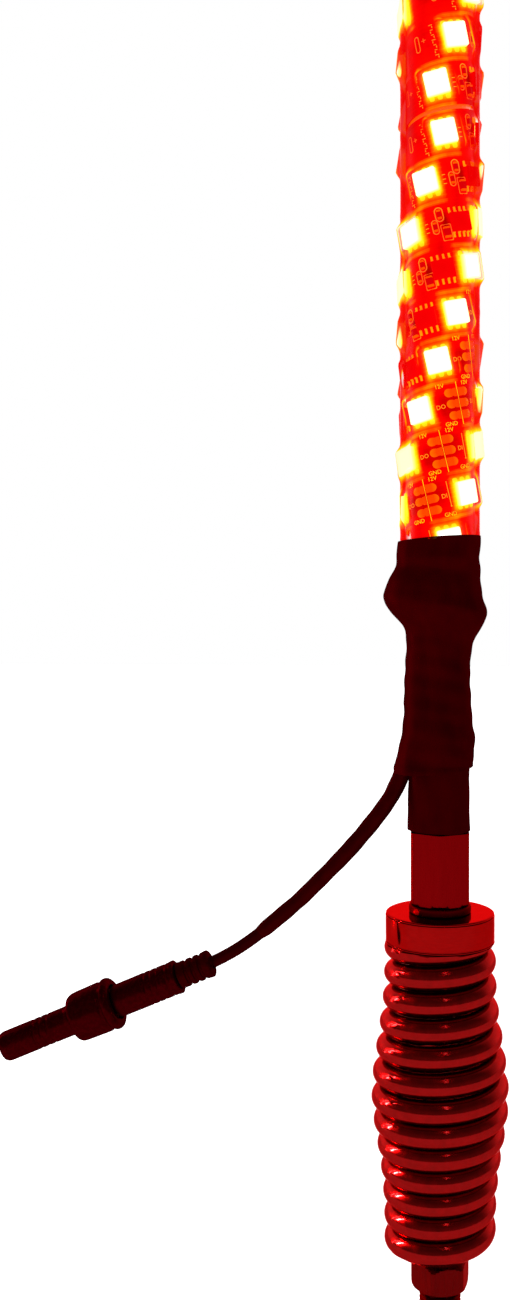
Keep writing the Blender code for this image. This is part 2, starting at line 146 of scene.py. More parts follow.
def gridFaces(rows, columns, wrapRows=False, wrapColumns=True):
    # quads between neighbours of a rows by columns grid of points
    i = np.arange(rows if wrapRows else rows - 1)
    j = np.arange(columns if wrapColumns else columns - 1)
    i, j = np.meshgrid(i, j, indexing="ij")
    nextI, nextJ = (i + 1) % rows, (j + 1) % columns
    quads = [i * columns + j, nextI * columns + j, nextI * columns + nextJ, i * columns + nextJ]
    return np.stack(quads, axis=-1).reshape(-1, 4)


def softProfile(points, steps=4):
    # corners (radius, height, fillet) become short quadratic arcs
    out = []
    pts = [np.array(p[:2], float) for p in points]
    for k, p in enumerate(points):
        fillet = p[2] if len(p) > 2 else 0
        if fillet == 0 or k in (0, len(points) - 1):
            out.append(pts[k])
            continue
        before, after = pts[k - 1] - pts[k], pts[k + 1] - pts[k]
        a = pts[k] + before / np.linalg.norm(before) * min(fillet, 0.48 * np.linalg.norm(before))
        b = pts[k] + after / np.linalg.norm(after) * min(fillet, 0.48 * np.linalg.norm(after))
        t = np.linspace(0, 1, steps + 1)[:, None]
        out.extend((1 - t) ** 2 * a + 2 * t * (1 - t) * pts[k] + t * t * b)
    return np.array(out)


def turned(name, points, mat, body, steps=96, place=None, closed=False, shape=None, sharp=40):
    # a profile carried round the Z axis: x = r cos, y = r sin; shape may change r by angle
    profile = softProfile(points)
    angle = np.linspace(0, 2 * pi, steps, endpoint=False)
    r = np.repeat(profile[:, :1], steps, axis=1)
    z = np.repeat(profile[:, 1:], steps, axis=1)
    if shape is not None:
        r = shape(r, z, angle[None, :])
    verts = np.stack([r * np.cos(angle), r * np.sin(angle), z], axis=-1).reshape(-1, 3)
    if place is not None:
        verts = verts @ place[:3, :3].T + place[:3, 3]
    return finishMesh(name, verts, gridFaces(len(profile), steps, closed), mat, body, sharp)


def softMin(a, b, width):
    # the smaller of two values, with the kink between them rounded
    share = np.clip(0.5 + 0.5 * (b - a) / width, 0, 1)
    return b + (a - b) * share - width * share * (1 - share)


def averaged(x, places, values, blur):
    # a table read straight between its rows, with its corners rounded
    return sum(np.interp(x + d, places, values) for d in np.linspace(-blur, blur, 5)) / 5


def hexRadius(angle, flats, flatAngle, rounding):
    # distance from the middle to a hexagon's side; its corners are rounded off
    local = (angle - flatAngle + pi / 6) % (pi / 3) - pi / 6
    sharpRadius = flats / 2 / np.cos(local)
    limit = flats / math.sqrt(3) - rounding
    return softMin(sharpRadius, limit, rounding * 0.6)


def sweep(name, path, radius, mat, body, sides=20, closedEnds=True, wobble=None):
    # a round section carried along a path: path + r (cos(angle) side + sin(angle) normal)
    path = np.asarray(path, float)
    tangent = np.gradient(path, axis=0)
    tangent /= np.linalg.norm(tangent, axis=1)[:, None]
    up = np.array([0.0, 1.0, 0.0])
    side = np.cross(tangent, up)
    side /= np.linalg.norm(side, axis=1)[:, None]
    normal = np.cross(side, tangent)
    radius = np.broadcast_to(radius, len(path)).astype(float)
    angle = np.linspace(0, 2 * pi, sides, endpoint=False)
    r = radius[:, None] * np.ones(sides)
    if wobble is not None:
        r = r + wobble(np.arange(len(path))[:, None] / (len(path) - 1), angle[None, :])
    verts = (path[:, None] + r[..., None] * (np.cos(angle)[None, :, None] * side[:, None]
                                             + np.sin(angle)[None, :, None] * normal[:, None]))
    if closedEnds:
        verts = np.concatenate([np.repeat(path[:1, None], sides, 1), verts,
                                np.repeat(path[-1:, None], sides, 1)])
    faces = gridFaces(len(verts), sides)
    return finishMesh(name, verts.reshape(-1, 3), faces, mat, body)


view = dict(place=(0, -294.4, 157.3), turn=4.1, lens=35.446, right=-0.0717, up=-0.0408)


def makeCamera():
    data = bpy.data.cameras.new("camera")
    data.sensor_width = 36
    data.lens = view["lens"]
    data.shift_x, data.shift_y = view["right"], view["up"]
    data.clip_start, data.clip_end = 0.01, 50
    camera = bpy.data.objects.new("camera", data)
    camera.location = [v * mm for v in view["place"]]
    camera.rotation_euler = (pi / 2, 0, math.radians(view["turn"]))
    bpy.context.scene.collection.objects.link(camera)
    bpy.context.scene.camera = camera
    bpy.context.scene.view_settings.view_transform = "Standard"


def makeWorld():
    # a pale backdrop that is bright low down behind the whip and dim overhead and in front
    world = bpy.data.worlds.new("studio")
    bpy.context.scene.world = world
    world.use_nodes = True
    world.node_tree.nodes.clear()
    coords = addNode(world, "TexCoord")
    parts = addNode(world, "SeparateXYZ", links={0: coords.outputs["Generated"]})
    back = addNode(world, "MapRange", dict(interpolation_type="SMOOTHSTEP"),
                   {"Value": parts.outputs["Y"]}, From_Min=0.0, From_Max=0.75,
                   To_Min=0.36, To_Max=2.75)
    low = addNode(world, "MapRange", dict(interpolation_type="SMOOTHSTEP"),
                  {"Value": parts.outputs["Z"]}, From_Min=0.2, From_Max=0.75,
                  To_Min=1.0, To_Max=0.5)
    shaped = addNode(world, "Math", dict(operation="MULTIPLY"),
                     {0: back.outputs[0], 1: low.outputs[0]})
    dim = addNode(world, "Background", links={"Strength": shaped.outputs[0]},
                  Color=(1, 1, 1, 1))
    seen = addNode(world, "Background", Color=(1, 1, 1, 1), Strength=1.0)
    path = addNode(world, "LightPath")
    mix = addNode(world, "MixShader", links={0: path.outputs["Is Camera Ray"],
                                             1: dim.outputs[0], 2: seen.outputs[0]})
    addNode(world, "OutputWorld", links={"Surface": mix.outputs[0]})


def makeFloor():
    mat, shader = newMaterial("palePaper")
    setInputs(shader, Base_Color=(0.8, 0.8, 0.8, 1), Roughness=0.9,
              Emission_Color=(1, 1, 1, 1), Emission_Strength=0.9)
    half, height = 3000, -21.5
    verts = [(x * half, y * half, height) for x, y in [(-1, -1), (1, -1), (1, 1), (-1, 1)]]
    finishMesh("floor", verts, [[0, 1, 2, 3]], mat, None)


def makeLight(name, place, aim, width, height, power):
    data = bpy.data.lights.new(name, "AREA")
    data.shape = "RECTANGLE"
    data.size, data.size_y, data.energy = width * mm, height * mm, power
    light = bpy.data.objects.new(name, data)
    place, aim = np.array(place) * mm, np.array(aim) * mm
    light.location = place
    light.rotation_euler = Vector(aim - place).to_track_quat("-Z", "Y").to_euler()
    bpy.context.scene.collection.objects.link(light)
    return light


makeCamera()
makeWorld()
makeFloor()
makeLight("leftStrip", (-560, 215, 130), (0, 0, 110), 9, 520, 1.5)
makeLight("softKey", (-350, -600, 520), (0, 0, 160), 500, 500, 1.0).visible_glossy = False
makeLight("topStrip", (40, -300, 520), (-30, 0, 60), 6, 260, 0.16)
glintStrip = makeLight("glintStrip", (-520, 90, 250), (0, 0, 60), 40, 260, 19)
glintStrip.visible_diffuse = False
polished = bpy.data.collections.new("polishedSteel")  # the glint strip lights only these pieces
glintStrip.light_linking.receiver_collection = polished
print("studio made")


def objectNoise(mat, perMm, detail=3.0, stretch=(1, 1, 1), roughness=0.5):
    # noise on object coordinates, with its scale given per millimetre
    coords = addNode(mat, "TexCoord")
    mapping = addNode(mat, "Mapping", links={"Vector": coords.outputs["Object"]})
    mapping.inputs["Scale"].default_value = [perMm * 1000 * s for s in stretch]
    return addNode(mat, "TexNoise", links={"Vector": mapping.outputs[0]}, Scale=1.0,
                   Detail=detail, Roughness=roughness)


def redSteel(name, dark, light, rough, glint=0.0, grain=0.6, stretch=(1, 1, 1)):
    # plated steel in red light: a red mirror with faint handling haze; a small share of
    # clear polish keeps the white glints
    mat, shader = newMaterial(name)
    noise = objectNoise(mat, grain, 4.0, stretch)
    ramp = setRamp(addNode(mat, "ValToRGB", links={0: noise.outputs["Fac"]}),
                   [(0.3, dark), (0.7, light)])
    haze = addNode(mat, "MapRange", links={"Value": noise.outputs["Fac"]},
                   From_Min=0.3, From_Max=0.75, To_Min=rough * 0.75, To_Max=rough * 1.4)
    fine = objectNoise(mat, 6.0, 2.0, stretch)
    bump = addNode(mat, "Bump", links={"Height": fine.outputs["Fac"]}, Strength=0.12,
                   Distance=0.02 * mm)
    setLinks(mat, shader, {"Base Color": ramp.outputs[0], "Roughness": haze.outputs[0],
                           "Normal": bump.outputs[0]})
    setInputs(shader, Metallic=1.0, Specular_Tint=(0.7, 0.0, 0.0, 1))
    if glint:
        polish = addNode(mat, "BsdfAnisotropic", Color=(1, 1, 1, 1), Roughness=0.1)
        mix = addNode(mat, "MixShader", links={1: shader.outputs[0], 2: polish.outputs[0]})
        mix.inputs[0].default_value = glint
        setSurface(mat, mix.outputs[0])
    return mat


def redDark(name, dark, light, rough, grain, bumpMm, stretch=(1, 1, 1), gloss=0.35):
    # a black moulding or film in red light: near-black maroon with a sheen of the same red
    mat, shader = newMaterial(name)
    noise = objectNoise(mat, grain, 5.0, stretch)
    ramp = setRamp(addNode(mat, "ValToRGB", links={0: noise.outputs["Fac"]}),
                   [(0.32, dark), (0.68, light)])
    haze = addNode(mat, "MapRange", links={"Value": noise.outputs["Fac"]},
                   From_Min=0.3, From_Max=0.7, To_Min=rough * 0.85, To_Max=rough * 1.2)
    bump = addNode(mat, "Bump", links={"Height": noise.outputs["Fac"]}, Strength=0.5,
                   Distance=bumpMm * mm)
    setLinks(mat, shader, {"Base Color": ramp.outputs[0], "Normal": bump.outputs[0]})
    setInputs(shader, Roughness=0.6, Specular_IOR_Level=0.0, IOR=1.0)
    sheen = addNode(mat, "BsdfAnisotropic", links={
        "Color": ramp.outputs[0], "Roughness": haze.outputs[0], "Normal": bump.outputs[0]})
    mix = addNode(mat, "MixShader", links={1: shader.outputs[0], 2: sheen.outputs[0]})
    mix.inputs[0].default_value = gloss
    setSurface(mat, mix.outputs[0])
    return mat


springSteel = redSteel("chromedSpringWire", "6c0000", "7a0001", 0.18, glint=0.003)
turnedSteel = redSteel("turnedChromedSteel", "760202", "800303", 0.08, 0.001, stretch=(1, 1, 6))
barSteel = redSteel("drawnHexBar", "5e0103", "680204", 0.24, stretch=(4, 4, 0.4))
# the foot is the same drawn hex steel as the bar, painted darker: painted shade
shadedFootSteel = redSteel("drawnHexFootShaded", "480000", "520001", 0.3, 0.001, stretch=(4, 4, 0.4))
darkSteel = redSteel("blackedSteel", "3a0002", "480003", 0.35)
shrinkFilm = redDark("polyolefinHeatShrink", "2a0001", "340001", 0.42, 0.25, 0.10, (1, 1, 0.5))
nylon = redDark("mouldedNylon", "260001", "320002", 0.26, 1.2, 0.03, gloss=0.7)
rubber = redDark("mouldedRubber", "260001", "2f0001", 0.4, 1.5, 0.03, gloss=0.5)
cableSkin = redDark("pvcCableJacket", "240001", "2d0001", 0.4, 0.8, 0.03)


def glowMaterial(name, stops, strength=1.0, base="300000", rough=0.4):
    # a lit surface: its colour runs with the glow that reaches it from the nearest lamps
    mat, shader = newMaterial(name)
    glow = addNode(mat, "Attribute", dict(attribute_name="glow"))
    ramp = setRamp(addNode(mat, "ValToRGB", links={0: glow.outputs["Fac"]}), stops)
    setLinks(mat, shader, {"Emission Color": ramp.outputs[0]})
    setInputs(shader, Emission_Strength=strength, Base_Color=toLinear(base), Roughness=rough,
              Specular_IOR_Level=0.03, Specular_Tint=(0.8, 0.1, 0.0, 1))
    return mat


def boardMaterial():
    # red-lit solder mask: warm noise, faint copper tracks, and yellow light pooled by the lamps
    mat, shader = newMaterial("litSolderMask")
    glow = addNode(mat, "Attribute", dict(attribute_name="glow"))
    blotch = objectNoise(mat, 0.35, 3.0)
    spread = addNode(mat, "MapRange", links={"Value": blotch.outputs["Fac"]}, From_Min=0.3,
                     From_Max=0.7, To_Min=-0.05, To_Max=0.05)
    uv = addNode(mat, "UVMap")
    wave = addNode(mat, "TexWave", dict(wave_type="BANDS", bands_direction="Y"),
                   {"Vector": uv.outputs[0]}, Scale=0.31, Distortion=0.0)
    track = addNode(mat, "MapRange", links={"Value": wave.outputs["Fac"]}, From_Min=0.86,
                    From_Max=0.98, To_Min=0.0, To_Max=0.035)
    first = addNode(mat, "Math", dict(operation="ADD"), {0: glow.outputs["Fac"],
                                                         1: spread.outputs[0]})
    total = addNode(mat, "Math", dict(operation="ADD"), {0: first.outputs[0],
                                                         1: track.outputs[0]})
    ramp = setRamp(addNode(mat, "ValToRGB", links={0: total.outputs[0]}),
                   [(0.0, "aa0000"), (0.14, "dc0000"), (0.28, "fa0002"), (0.48, "ff0a00"),
                    (0.60, "ff5000"), (0.76, "ffa000"), (0.92, "ffe600"), (1.0, "fff430")])
    setLinks(mat, shader, {"Emission Color": ramp.outputs[0]})
    setInputs(shader, Emission_Strength=1.0, Base_Color=toLinear("300000"), Roughness=0.35,
              Specular_IOR_Level=0.03, Specular_Tint=(0.8, 0.05, 0.0, 1))
    return mat


litBoard = boardMaterial()
litCase = glowMaterial("litLampCase", [(0.0, "fff020"), (0.8, "fff8b0"), (1.0, "ffffe8")], 1.1,
                       "ffd040")
litCopper = glowMaterial("litSolderPad", [(0.2, "ff3a00"), (0.5, "ff7400"), (0.9, "ffc800")],
                         0.95, "803000", 0.3)
litPrint = glowMaterial("litSilkscreen", [(0.2, "ff5020"), (0.42, "ff9a20"), (0.7, "ffdc10")],
                        1.0, "a04000")
litLeg = glowMaterial("litSolderJoint", [(0.2, "ff6a10"), (0.5, "ffb400"), (0.9, "fff020")],
                      1.0, "a05000")
litChip = glowMaterial("litChipCase", [(0.0, "e00000"), (0.4, "fa0004"), (0.8, "ff2000")],
                       1.0, "400000", 0.5)
litPart = glowMaterial("litPartCase", [(0.0, "c00008"), (0.5, "f00008"), (0.9, "ff3000")],
                       0.95, "400000", 0.4)


def plainMaterial(name, code, rough, metallic=0.0, emission=None, strength=0.0, grain=0.8):
    # one colour with a faint unevenness in its polish
    mat, shader = newMaterial(name)
    noise = objectNoise(mat, grain, 3.0)
    haze = addNode(mat, "MapRange", links={"Value": noise.outputs["Fac"]},
                   From_Min=0.3, From_Max=0.7, To_Min=rough * 0.8, To_Max=rough * 1.2)
    setLinks(mat, shader, {"Roughness": haze.outputs[0]})
    setInputs(shader, Base_Color=toLinear(code), Metallic=metallic)
    if emission:
        setInputs(shader, Emission_Color=toLinear(emission), Emission_Strength=strength)
    return mat


def filmMaterial():
    # clear film: seen through, with a soft gloss, and painted lamp light that glows faintly across it
    # and warm at its edge where it is seen at a slant
    mat, shader = newMaterial("clearHeatShrinkFilm")
    glow = addNode(mat, "Attribute", dict(attribute_name="glow"))
    noise = objectNoise(mat, 0.5, 3.0)
    tone = addNode(mat, "Math", dict(operation="MULTIPLY_ADD"),
                   {0: noise.outputs["Fac"], 2: glow.outputs["Fac"]})
    tone.inputs[1].default_value = 0.25
    ramp = setRamp(addNode(mat, "ValToRGB", links={0: tone.outputs[0]}),
                   [(0.35, "e60000"), (0.6, "ff1000"), (0.72, "ff7800"), (0.85, "ffd800"),
                    (0.95, "fff430"), (1.0, "ffffd0")])
    setLinks(mat, shader, {"Emission Color": ramp.outputs[0]})
    setInputs(shader, Emission_Strength=1.0, Base_Color=toLinear("400000"), Roughness=0.12,
              IOR=1.01)
    clear = addNode(mat, "BsdfTransparent")
    facing = addNode(mat, "LayerWeight", Blend=0.5)
    amount = addNode(mat, "MapRange", links={"Value": facing.outputs["Facing"]},
                     From_Min=0.34, From_Max=0.50, To_Min=0.015, To_Max=0.97)
    mix = addNode(mat, "MixShader", links={0: amount.outputs[0], 1: clear.outputs[0],
                                           2: shader.outputs[0]})
    setSurface(mat, mix.outputs[0])
    return mat


clearFilm = filmMaterial()
litLamp = plainMaterial("litPhosphorWindow", "ffffff", 0.3, 0.0, "ffffff", 1.25)
# the core tube glows with painted lamp light, and the leads and pin have the lamps' red light painted
# into their colours
boardTube = plainMaterial("redLitCoreTube", "500004", 0.4, 0.0, "ff5a00", 0.9)
leadRed = plainMaterial("siliconeLeadRed", "6c0004", 0.4)
leadGreen = plainMaterial("siliconeLeadGreen", "2a0800", 0.4)
leadBlack = plainMaterial("siliconeLeadBlack", "240003", 0.4)
pinMetal = plainMaterial("platedPinBrass", "8c0a05", 0.25, 1.0)
print("materials made")


cable = dict(radius=1.4, points=160, wall=0.25, coverEnd=0.80, coverFront=1.95, coverBack=1.72,
             exit=(-9.6, 0.0, 114.6),
             route=[(-8.0, 0.2, 120.0), (-8.4, 0.1, 118.0), (-9.0, 0.0, 116.0),
                    (-10.4, -0.2, 113.0), (-11.5, -0.4, 111.0),
                    (-14.2, -0.9, 107.2), (-18.3, -1.6, 102.2), (-21.8, -2.1, 98.3),
                    (-25.3, -2.5, 94.7), (-28.8, -2.8, 91.2), (-32.3, -3.0, 87.8),
                    (-37.9, -3.1, 83.0), (-42.0, -3.0, 79.6), (-46.0, -2.7, 76.7),
                    (-49.4, -2.3, 74.6), (-52.0, -2.0, 73.2)])


def smoothRoute(points, count):
    # evenly spaced points on a Catmull-Rom curve through the route's points
    p = np.array(points, float)
    p = np.concatenate([2 * p[:1] - p[1:2], p, 2 * p[-1:] - p[-2:-1]])
    a, b, c, d = p[:-3, None], p[1:-2, None], p[2:-1, None], p[3:, None]
    t = np.linspace(0, 1, 24, endpoint=False)[None, :, None]
    fine = 0.5 * (2 * b + (c - a) * t + (2 * a - 5 * b + 4 * c - d) * t ** 2
                  + (3 * b - a - 3 * c + d) * t ** 3)
    fine = np.concatenate([fine.reshape(-1, 3), p[-2:-1]])
    along = np.concatenate([[0], np.cumsum(np.linalg.norm(np.diff(fine, axis=0), axis=1))])
    at = np.linspace(0, along[-1], count)
    return np.stack([np.interp(at, along, fine[:, k]) for k in range(3)], axis=1), along[-1]


def makeCable():
    path, length = smoothRoute(cable["route"], cable["points"])
    core = sweep("powerCable", path, cable["radius"], cableSkin, "whip", 16)
    standFor("power_cable")

    # the heat-shrink cover thins along its length and ends in a puckered lip
    covered = path[:int(cable["points"] * cable["coverEnd"])]
    share = np.linspace(0, 1, len(covered))
    radius = cable["coverFront"] + (cable["coverBack"] - cable["coverFront"]) * share
    radius = radius + 0.12 * np.exp(-((share - 0.03) / 0.03) ** 2)
    radius = radius - 0.16 * smoothStep(0.97, 1.0, share)

    def pucker(along, angle):
        return (0.05 * np.sin(2 * angle + 9 * along) * np.sin(23 * along)
                + 0.03 * np.sin(61 * along + 2 * angle))

    cover = sweep("cableCover", covered, radius, shrinkFilm, "whip", 24, False, wobble=pucker)
    wall = cover.modifiers.new("wall", "SOLIDIFY")
    wall.thickness, wall.offset = cable["wall"] * mm, -1
    standFor("cable_cover")
    return core, cover, path, length


powerCable, cableCover, cablePath, cableLength = makeCable()
print("cable made", round(cableLength, 1), "mm long")


connector = dict(start=(-52.4, -2.0, 72.95), end=(-101.8, -2.0, 52.0), boot=3.05, body=3.8,
                 nut=5.7, flange=6.0, socket=3.45, flutes=6)


def connectorFrame():
    # its Z runs along the connector, away from the cable
    start, end = np.array(connector["start"]), np.array(connector["end"])
    along = (end - start) / np.linalg.norm(end - start)
    across = np.array([0.0, 1.0, 0.0])
    place = np.eye(4)
    place[:3, 0], place[:3, 1], place[:3, 2] = np.cross(across, along), across, along
    place[:3, 3] = start
    return place


def grooves(start, count, pitch, width, low, high):
    # moulded grip rings, from the far end back towards the cable
    out = []
    for k in reversed(range(count)):
        z = start + k * pitch
        out += [(high, z + width + 0.22, 0.12), (low, z + width, 0.12), (low, z + 0.22, 0.12),
                (high, z, 0.12)]
    return out


def makeConnector():
    place = connectorFrame()
    c = connector
    boot = turned(
        "cableBoot",
        [(0, 8.2), (3.1, 8.2, 0.2), (3.0, 7.6, 0.1)]
        + grooves(2.0, 3, 1.75, 0.7, 2.7, c["boot"])
        + [(c["boot"], 1.5, 0.2), (3.15, 1.2, 0.2), (3.15, 0.4, 0.3), (2.5, 0.05, 0.3),
           (1.55, 0), (1.5, 0.4), (0, 0.5)],
        rubber, "whip", 64, place)
    standFor("cable_boot")
    body = turned(
        "plugBody",
        [(0, 33.6), (2.1, 33.6, 0.2), (2.3, 33.3, 0.2), (2.3, 24.6, 0.1), (3.75, 24.2, 0.3)]
        + grooves(12.6, 3, 1.5, 0.5, 3.68, c["body"])
        + grooves(10.4, 1, 1.6, 0.4, 3.66, c["body"])
        + [(c["body"], 9.6, 0.2), (3.9, 9.3, 0.2), (3.9, 8.6, 0.2), (3.3, 8.45, 0.1), (0, 8.4)],
        nylon, "whip", 72, place)
    standFor("plug_body")

    def fluted(r, z, angle):
        # flats that fade out at the flange
        cut = 0.22 * (0.5 + 0.5 * np.cos(c["flutes"] * angle)) ** 2
        outer = smoothStep(4.5, 5.1, r)
        return r - cut * outer * smoothStep(27.0, 28.6, z) * smoothStep(35.2, 33.6, z)

    nut = turned(
        "couplingNut",
        [(4.15, 34.9, 0.2), (5.05, 34.9, 0.2), (5.6, 34.2, 0.4), (c["nut"], 33.0), (5.75, 31.0),
         (5.8, 29.0), (5.8, 27.4, 0.3), (5.5, 27.0, 0.2), (5.5, 26.6, 0.1),
         (c["flange"], 26.0, 0.5), (c["flange"], 25.0, 0.6), (5.2, 24.3, 0.4), (4.1, 24.3, 0.2),
         (4.1, 25.0), (4.15, 34.0)],
        nylon, "coupling_nut", 160, place, closed=True, shape=fluted, sharp=50)
    standFor("coupling_nut")
    socket = turned(
        "socketBody",
        [(2.0, 53.3, 0.1), (3.1, 53.3, 0.4), (c["socket"], 52.4, 0.3), (c["socket"], 47.6)]
        + grooves(40.6, 3, 1.7, 0.6, 3.28, c["socket"])
        + [(c["socket"], 39.4), (c["socket"], 36.4, 0.2), (3.7, 35.7, 0.2), (3.7, 27.8, 0.2),
           (3.4, 27.4, 0.1), (2.6, 27.4, 0.1), (2.6, 37.6, 0.1), (1.7, 38.2, 0.1),
           (1.7, 52.7, 0.1), (2.0, 52.9)],
        nylon, "socket", 72, place, closed=True)
    standFor("socket_body")
    tail = turned("socketSeal", [(0, 53.1), (1.0, 53.15), (1.55, 52.8, 0.2), (1.6, 52.2, 0.1),
                                 (1.4, 39.0, 0.1), (0, 39.0)],
                  rubber, "socket", 48, place)
    standFor("socket_seal")
    return [boot, body, nut, socket, tail]


connectorPieces = makeConnector()
pinNames = ("contact_pin_1", "contact_pin_2", "contact_pin_3")
print("connector made")


foot = dict(flats=12.2, turn=16.7, hexTop=6.6, studRadius=4.75, studTop=8.2, studBottom=-20.0,
            thread=1.058, washer=-11.3, nutTop=-12.7, nutBottom=-18.3, nutFlats=14.3)


def makeFoot():
    flatAngle = math.radians(-90 + foot["turn"])

    def hexBody(r, z, angle):
        # a hexagonal bar turned down at its lower end and broken at its upper edge
        side = hexRadius(angle, foot["flats"], flatAngle, 0.25)
        return np.where(z > foot["hexTop"], r, np.minimum(r, softMin(side, r, 0.10)))

    piece = turned(
        "footHex",
        [(0, 21), (5.6, 21, 0.3), (6.9, 19, 0.5), (6.9, 11, 0.5), (5.6, 9.6, 0.2), (5.5, 9.3),
         (5.5, 6.7, 0.2), (5.7, 6.35), (6.0, 6.1), (6.3, 5.85), (6.6, 5.55), (6.9, 5.25),
         (7.2, 4.95), (7.3, 4.7), (7.2, 4.1), (7.05, 3.2), (6.9, 2.2), (6.75, 1.3),
         (6.6, 0.5), (6.4, 0.12), (6.2, 0.0, 0.1), (5.05, 0.0, 0.1), (5.05, 8.5), (0, 9.0)],
        shadedFootSteel, "foot", 240, shape=hexBody, sharp=25)
    standFor("foot_hex")
    polished.objects.link(piece)


def threadShape(low, high, pitch, depth, major):
    # r falls and rises once per pitch along z, and the phase turns with the angle
    def shape(r, z, angle):
        phase = (z / pitch - angle / (2 * pi)) % 1
        tooth = np.abs(phase - 0.5) * 2
        inside = smoothStep(low, low + 1.2, z) * smoothStep(high, high - 0.6, z)
        cut = depth * np.clip(1.15 * tooth - 0.08, 0, 1) * inside
        return np.where(r > major * 0.85, r - cut, r)
    return shape


def threadedRod(name, bottom, top, radius, pitch, mat, body):
    # a rod with chamfered ends, and seven rings of points to each turn of its thread
    heights = np.linspace(top - 0.7, bottom + 0.7, int((top - bottom) / pitch * 7))
    profile = ([(0, top), (radius - 0.75, top)] + [(radius, float(z)) for z in heights]
               + [(radius - 0.75, bottom), (0, bottom)])
    return turned(name, profile, mat, body, 72,
                  shape=threadShape(bottom, top, pitch, 0.62 * pitch, radius), sharp=60)


def makeStud():
    stud = threadedRod("footStud", foot["studBottom"], foot["studTop"], foot["studRadius"],
                       foot["thread"], darkSteel, "foot")
    standFor("foot_stud")

    # a split washer: a square section carried round almost a full turn, rising a little
    angle = np.linspace(0.06, 2 * pi - 0.06, 140)
    rise = (angle / (2 * pi) - 0.5) * 0.5
    section = np.array([(8.2, 0.85), (8.3, 0.75), (8.3, -0.75), (8.2, -0.85), (5.2, -0.75),
                        (5.1, -0.65), (5.1, 0.65), (5.2, 0.75)])
    r, z = section[:, 0], section[:, 1]
    ring = np.stack([np.outer(np.cos(angle), r), np.outer(np.sin(angle), r),
                     foot["washer"] + z[None, :] + rise[:, None]], axis=-1)
    ends = np.concatenate([np.repeat(ring[:1].mean(1, keepdims=True), len(section), 1), ring,
                           np.repeat(ring[-1:].mean(1, keepdims=True), len(section), 1)])
    washer = finishMesh("lockWasher", ends.reshape(-1, 3), gridFaces(len(ends), len(section)),
                        darkSteel, "foot", 30)
    standFor("lock_washer")

    def nutBody(r, z, angle):
        side = hexRadius(angle, foot["nutFlats"], -pi / 3, 0.3)
        return np.where(r > 5.6, softMin(side, r, 0.12), r)

    top, bottom = foot["nutTop"], foot["nutBottom"]
    nut = turned(
        "footNut",
        [(5.05, top - 0.4), (5.4, top), (6.6, top), (7.3, top - 0.15), (8.0, top - 0.55),
         (8.5, top - 1.0), (8.6, top - 1.4), (8.6, bottom + 1.4), (8.5, bottom + 1.0),
         (8.0, bottom + 0.55), (7.3, bottom + 0.15), (6.6, bottom), (5.4, bottom),
         (5.05, bottom + 0.4)],
        barSteel, "foot_nut", 180, closed=True, shape=nutBody, sharp=25)
    standFor("foot_nut")


makeFoot()
makeStud()
print("foot made")


spring = dict(wire=2.68, inset=2.6, first=-0.6, last=12.3, splits=(5.1, 6.5), bottom=9.4, top=78.3,
              rise=[(-1, 6.63), (0, 12.0), (6, 44.2), (11, 72.8), (13, 84.2)],
              barrel=[(9, 12.7), (16, 12.7), (22, 13.0), (28, 13.6), (35, 14.8), (40, 15.6),
                      (45, 15.8), (49, 15.4), (53, 14.8), (58, 14.1), (65, 13.1), (70, 12.8),
                      (78, 12.7)])


def coilCentre(turns):
    # turn 0 is at the front; height and outline are averaged, so that they have no corners
    z = averaged(turns, *np.array(spring["rise"]).T, 0.4)
    r = averaged(z, *np.array(spring["barrel"]).T, 3) - spring["inset"]
    angle = -pi / 2 + turns * 2 * pi
    return np.stack([r * np.cos(angle), r * np.sin(angle), z], axis=-1)


def makeCoils(name, node, first, last):
    # a round wire carried along the coil; its section is cut flat at the ground ends
    turns = np.linspace(first, last, int((last - first) * 72) + 2)
    centre = coilCentre(turns)
    tangent = coilCentre(turns + 0.001) - coilCentre(turns - 0.001)
    tangent /= np.linalg.norm(tangent, axis=1)[:, None]
    outward = centre * [1, 1, 0]
    outward /= np.linalg.norm(outward, axis=1)[:, None]
    upward = np.cross(tangent, outward)
    upward *= np.sign(upward[:, 2:]) / np.linalg.norm(upward, axis=1)[:, None]
    r, sides = spring["wire"], 32
    around = (np.arange(sides) + 0.5) * 2 * pi / sides
    x, y = r * np.cos(around), r * np.sin(around)
    # where the wire passes a ground face, the cut side of the circle becomes its chord
    high = ((spring["top"] - centre[:, 2]) / upward[:, 2])[:, None]
    low = ((spring["bottom"] - centre[:, 2]) / upward[:, 2])[:, None]
    for limit, sign in ((high, 1), (-low, -1)):
        edge = np.arcsin(np.clip(limit / r, -1, 1))
        reach = np.sqrt(np.maximum(r * r - limit ** 2, 0))
        turn = (sign * around[None] - edge) % (2 * pi)
        isCut = (turn < pi - 2 * edge) & (limit < r)
        share = turn / np.maximum(pi - 2 * edge, 0.001)
        x = np.where(isCut, reach * (1 - 2 * share), x)
        y = np.where(isCut, sign * limit, y)
    verts = centre[:, None] + x[..., None] * outward[:, None] + y[..., None] * upward[:, None]
    verts[..., 2] = np.clip(verts[..., 2], spring["bottom"], spring["top"])
    middle = verts.mean(axis=1, keepdims=True)
    verts = np.concatenate([np.repeat(middle[:1], sides, 1), verts,
                            np.repeat(middle[-1:], sides, 1)])
    piece = finishMesh(name, verts.reshape(-1, 3), gridFaces(len(verts), sides), springSteel, None)
    standFor(node)
    polished.objects.link(piece)
    return piece


def makeSpring():
    low, high = spring["splits"]
    lower = makeCoils("springLowerCoils", "spring_lower_coils", spring["first"], low)
    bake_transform(lower)
    middle = makeCoils("springMiddleCoils", "spring_middle_coils", low, high)
    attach(middle, "spring_middle")
    upper = makeCoils("springUpperCoils", "spring_upper_coils", high, spring["last"])
    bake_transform(upper)


makeSpring()
print("spring made")


